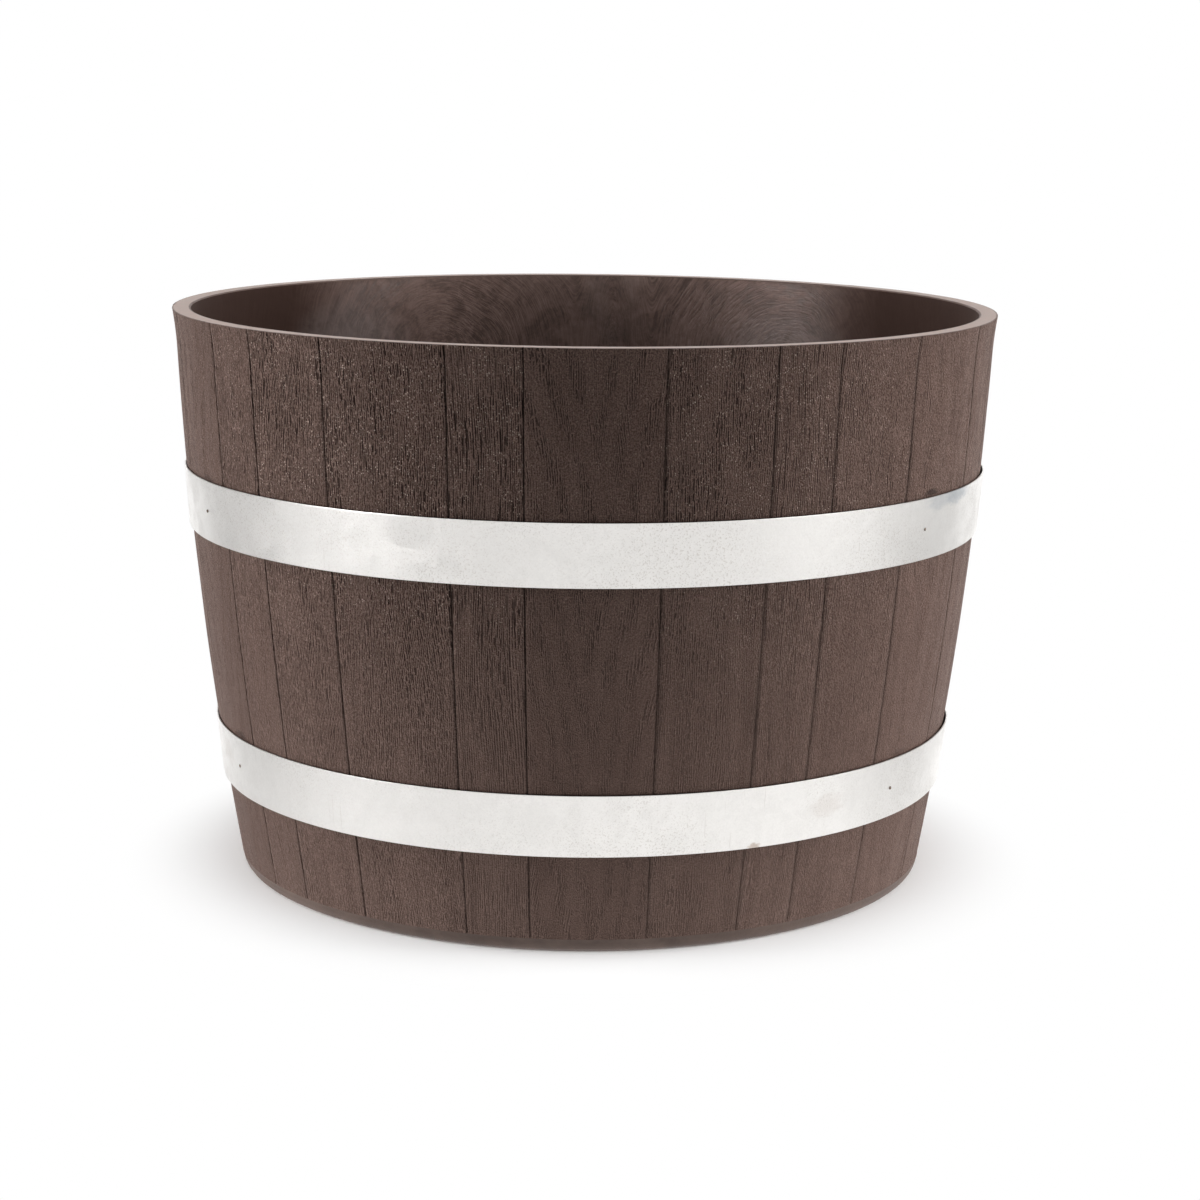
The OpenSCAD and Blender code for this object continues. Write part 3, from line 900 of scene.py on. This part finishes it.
def makeHoops():
    tree = None
    for name, hoop in hoops.items():
        low, top, degrees = stripRadii(hoop)
        lapEnd = 360 + strip["lapAngle"]
        settings = {
            **stripShape, "Lower Edge": hoop["lowerEdge"], "Low Radius": low, "Top Radius": top,
            "Width": strip["width"], "Thickness": strip["thickness"],
            "Start": strip["lapAngle"] + strip["thickness"] * degrees,
            "Turn": 360 + strip["lapLength"] * degrees - strip["thickness"] * degrees,
            "Joggle Start": lapEnd - strip["joggle"] * degrees, "Joggle End": lapEnd,
            "Lap Lift": strip["thickness"] + strip["lapGap"],
            "Seed": float(hoop["seed"]), "Strip": stripMaterial}
        tree = tree or hoopTree(settings)
        piece = growShape(name, pointMesh(name + "Section", stripProfile()), tree, settings)
        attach(piece, "root")
        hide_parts(hoop["node"])


makeHoops()


# Nails and rivets

nailAngles = [-64.0, 53.0, 175.0]
nails = {"head": 0.00095, "headHeight": 0.0005, "shank": 0.00075, "length": 0.009, "tilt": 4.0, "seed": 5,
         "pointed": True}
rivets = {"head": 0.004, "headHeight": 0.0018, "shank": 0.002, "length": 0.0017, "tilt": 0.8, "seed": 2,
          "pointed": False}


def fastenerProfile(size):
    # From the tip of the shank up to the top of the head
    shank = size["shank"]
    head = size["head"]
    tip, point = (0.2, 2.0) if size["pointed"] else (0.9, 0.1)
    rim = size["headHeight"] / 3
    bottom = -size["length"]
    rows = [(0.0, bottom), (shank * tip, bottom), (shank, bottom + shank * point),
            (shank, 0.0), (head * 0.96, 0.0), (head, rim * 0.3), (head, rim)]
    for i in range(1, 7):
        turn = math.radians(90 * i / 6)
        # a nail's head is flattened by the hammer
        dome = math.sin(turn) ** (0.7 if size["pointed"] else 1.0)
        rows.append((head * math.cos(turn), rim + (size["headHeight"] - rim) * dome))
    return [(max(r, 0.0), 0.0, z) for r, z in rows]


def fastenerTree(settings):
    tree, given, end = shapeTree("fasteners", settings)
    mesh, column, row, radius, height = startGrid(given["Profile"], given["Sides"])
    turn = column / given["Sides"] * fullTurn
    mesh = merge(place(mesh, radius * turn.math("COSINE"), radius * turn.math("SINE"), height), 0.0000005)
    outwards = named(tree, "outwards", "FLOAT_VECTOR")
    facing = addValue(tree, "FunctionNodeAlignRotationToVector", {"Vector": outwards}, axis="Z")
    # each is driven in a little askew, by a fixed seed
    tilt = given["Tilt"]
    askew = addValue(tree, "FunctionNodeRandomValue", {
        0: combine(-tilt, -tilt, -180.0), 1: combine(tilt, tilt, 180.0), "Seed": given["Seed"]},
        data_type="FLOAT_VECTOR")
    radians = addValue(tree, "ShaderNodeVectorMath", {0: askew, "Scale": math.pi / 180}, operation="SCALE")
    turned = addValue(tree, "FunctionNodeEulerToRotation", {0: radians})
    eased = addValue(tree, "FunctionNodeRotateRotation", {0: facing, 1: turned}, rotation_space="LOCAL")
    placed = addValue(tree, "GeometryNodeInstanceOnPoints", {
        "Points": pointsOf(given["Seats"]), "Instance": mesh, "Rotation": eased})
    finishTree(end, placed, given["Metal"])
    return tree


def stripSeat(hoop, angle, lift):
    # A place on the middle of a hoop's outer face, and the way out of that face
    low, top, degrees = stripRadii(hoop)
    lean = math.atan((top - low) / strip["width"])
    lift = lift + stripShape["Waviness"] * 0.4
    seat = around(angle, (low + top) / 2 + strip["thickness"] + lift, hoop["lowerEdge"] + strip["width"] / 2)
    outwards = around(angle, math.cos(lean), -math.sin(lean))
    return seat, outwards


def rivetAngles(hoop):
    degrees = stripRadii(hoop)[2]
    fromEnd = [(strip["lapLength"] + side * strip["rivetPitch"]) / 2 for side in (-1, 1)]
    return [strip["lapAngle"] + length * degrees for length in fromEnd]


def makeFasteners(name, size, seats, metal, nodes, tree=None):
    seatPoints = pointMesh(name + "Seats", [seat + outwards * 0.00004 for seat, outwards in seats],
                           {"outwards": [tuple(outwards) for seat, outwards in seats]})
    profile = pointMesh(name + "Profile", fastenerProfile(size))
    settings = {"Seats": seatPoints, "Sides": 28, "Tilt": size["tilt"], "Seed": size["seed"], "Metal": metal}
    tree = tree or fastenerTree(settings)
    made = growShape(name, profile, tree, settings)
    bpy.data.objects.remove(seatPoints)
    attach(made, "root")
    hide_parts(*nodes)
    return tree


nailSeats = [stripSeat(hoop, angle, 0.0) for hoop in hoops.values() for angle in nailAngles]
rivetSeats = [stripSeat(hoop, angle, strip["thickness"] + strip["lapGap"])
              for hoop in hoops.values() for angle in rivetAngles(hoop)]
fastenerNodes = makeFasteners(
    "hoopNails", nails, nailSeats, nailMaterial, [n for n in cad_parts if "_nail_" in n])
makeFasteners("lapRivets", rivets, rivetSeats, rivetMaterial,
              [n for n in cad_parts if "_rivet_" in n], fastenerNodes)
print("fasteners placed")


# Floor, world, lamps and camera

studio = {
    "surround": (0.06, 0.06, 0.06, 1), "front": 0.96, "beside": 0.93, "gap": 0.36, "back": 1.3,
    "leftShare": 0.82, "rightShare": 0.95,
    "leftPanel": 20.0, "rightPanel": 8.5, "panelFacing": -0.40, "panelHalf": 0.15,
}
white = (1, 1, 1, 1)


def roomGroup():
    # Light that a glossy face mirrors: the room behind the camera, panels at the sides, gaps, the backdrop
    tree, given, end = newTree("mirroredRoom", "ShaderNodeTree", {"Vector": "Vector"}, {"Light": "Color"})
    x, y, z = separate(given["Vector"])
    level = (x * x + y * y).math("SQRT").math("MAXIMUM", 0.001)
    facing = y / level    # -1 at the camera, 1 behind the object
    rise = z / level
    light = ramp(facing, -0.97, -0.6, studio["front"], studio["beside"])
    light = blend(ramp(facing, -0.2, 0.3), light, studio["gap"])
    light = blend(ramp(facing, 0.6, 0.9), light, studio["back"])
    light = light * ramp(x, -0.65, -0.2, studio["leftShare"], 1.0)
    light = light * ramp(x, 0.1, 0.5, 1.0, studio["rightShare"])
    panel = bell(facing - studio["panelFacing"], studio["panelHalf"] * 0.5, studio["panelHalf"])
    panel = panel * ramp(rise, 0.02, 0.12) * ramp(rise, 0.35, 0.5, 1.0, 0.0)
    light = light + panel * ramp(x, -0.1, 0.1, studio["leftPanel"], studio["rightPanel"])
    plug(end.inputs["Light"], combine(light, light, light))
    return tree


room = roomGroup()
floorLook = {
    "size": 6.0, "colour": (0.93, 0.93, 0.93, 1), "shadow": (0.2, 0.29), "mirrored": 0.85,
    "bounce": 1.7, "bounceReach": (0.35, 1.0), "mirrorReach": 0.125,
    "nearReach": (0.32, 0.62), "nearShare": 0.6, "nearPlaces": (-0.1, 0.2), "nearLevel": (1.04, 1.22),
}


def lightPath(tree, *names):
    rays = tree.nodes.new("ShaderNodeLightPath").outputs
    return [Value(rays["Is " + name + " Ray"]) for name in names]


def makeFloor():
    half = floorLook["size"] / 2
    mesh = bpy.data.meshes.new("paleFloor")
    corners = [(-half, -half, 0), (half, -half, 0), (half, half, 0), (-half, half, 0)]
    mesh.from_pydata(corners, [], [(0, 1, 2, 3)])
    floor = addObject("paleFloor", mesh)
    material, shader, where = newMaterial("paleFloor", 0.9, 0.0, 0.0)
    tree = where.tree
    shader.inputs["Base Color"].default_value = floorLook["colour"]
    # away from the object the floor turns into the white background; near it, it lights the wall from below
    length = vectorMath("LENGTH", where)
    seen, glossy, diffuse = lightPath(tree, "Camera", "Glossy", "Diffuse")
    away = ramp(length, *floorLook["shadow"]) * seen + glossy * floorLook["mirrored"] + diffuse
    # the hoops mirror the floor close by, so the room's pattern is drawn together there
    x, y, z = separate(where)
    turn = x.math("ARCTAN2", -y) * (1.0 + floorLook["mirrorReach"] / length)
    turn = turn.math("MINIMUM", math.pi).math("MAXIMUM", -math.pi)
    mirrored = useGroup(room, {"Vector": combine(turn.math("SINE"), -turn.math("COSINE"), 0.0)})["Light"]
    level = ramp(x, *floorLook["nearPlaces"], *floorLook["nearLevel"])
    near = ramp(length, *floorLook["nearReach"], floorLook["nearShare"], 0.0)
    mirrored = blendColour(near, mirrored, combine(level, level, level))
    bounce = ramp(length, *floorLook["bounceReach"], floorLook["bounce"], 0.0)
    colour = blendColour(glossy, white, mirrored)
    colour = blendColour(diffuse, colour, combine(bounce, bounce, bounce))
    backdrop = addNode(tree, "ShaderNodeEmission", {"Color": colour, "Strength": 1.0})
    mixed = addNode(tree, "ShaderNodeMixShader", {0: away, 1: shader.outputs[0], 2: backdrop.outputs[0]})
    plug(tree.nodes["Material Output"].inputs["Surface"], mixed.outputs[0])
    mesh.materials.append(material)


def makeWorld():
    world = bpy.data.worlds.new("whiteStudio")
    world.use_nodes = True
    tree = world.node_tree
    diffuse, glossy = lightPath(tree, "Diffuse", "Glossy")
    direction = Value(tree.nodes.new("ShaderNodeTexCoord").outputs["Generated"])
    colour = blendColour(diffuse, white, studio["surround"])
    colour = blendColour(glossy, colour, useGroup(room, {"Vector": direction})["Light"])
    setInputs(tree.nodes["Background"], {"Color": colour, "Strength": 1.0})
    bpy.context.scene.world = world


# each lamp's place, size and watts; all face the middle of the object
lamps = {
    "leftSoftbox": ((-2.1, 0.2, 0.5), (1.5, 1.0), 76),
    "rightSoftbox": ((2.1, 0.2, 0.5), (1.5, 1.0), 87),
    "topSoftbox": ((0, -0.9, 2.2), (2.0, 1.0), 20),
}


def makeLamps():
    for name, (where, size, power) in lamps.items():
        light = bpy.data.lights.new(name, "AREA")
        light.shape = "RECTANGLE"
        light.size, light.size_y = size
        light.energy = power
        lamp = addObject(name, light)
        lamp.location = where
        lamp.rotation_euler = (Vector((0, 0, 0.2)) - Vector(where)).to_track_quat("-Z", "Y").to_euler()
        lamp.visible_glossy = False


# the photograph's viewing angle, fitted to the rim, the hoops and the sides
view = {"away": 1.7102, "height": 0.4977, "pitch": 11.151, "yaw": 0.366, "roll": 0.61, "lens": 83.31,
        "clipStart": 0.05}


def makeCamera():
    data = bpy.data.cameras.new("camera")
    data.lens = view["lens"]
    data.clip_start = view["clipStart"]
    camera = addObject("camera", data)
    camera.matrix_world = Matrix.Translation((0, -view["away"], view["height"]))
    for angle, axis in ((-view["yaw"], "Z"), (90 - view["pitch"], "X"), (view["roll"], "Z")):
        camera.matrix_world = camera.matrix_world @ Matrix.Rotation(math.radians(angle), 4, axis)
    bpy.context.scene.camera = camera


makeFloor()
makeWorld()
makeLamps()
makeCamera()
bpy.context.scene.view_settings.view_transform = "Standard"
print("studio set")
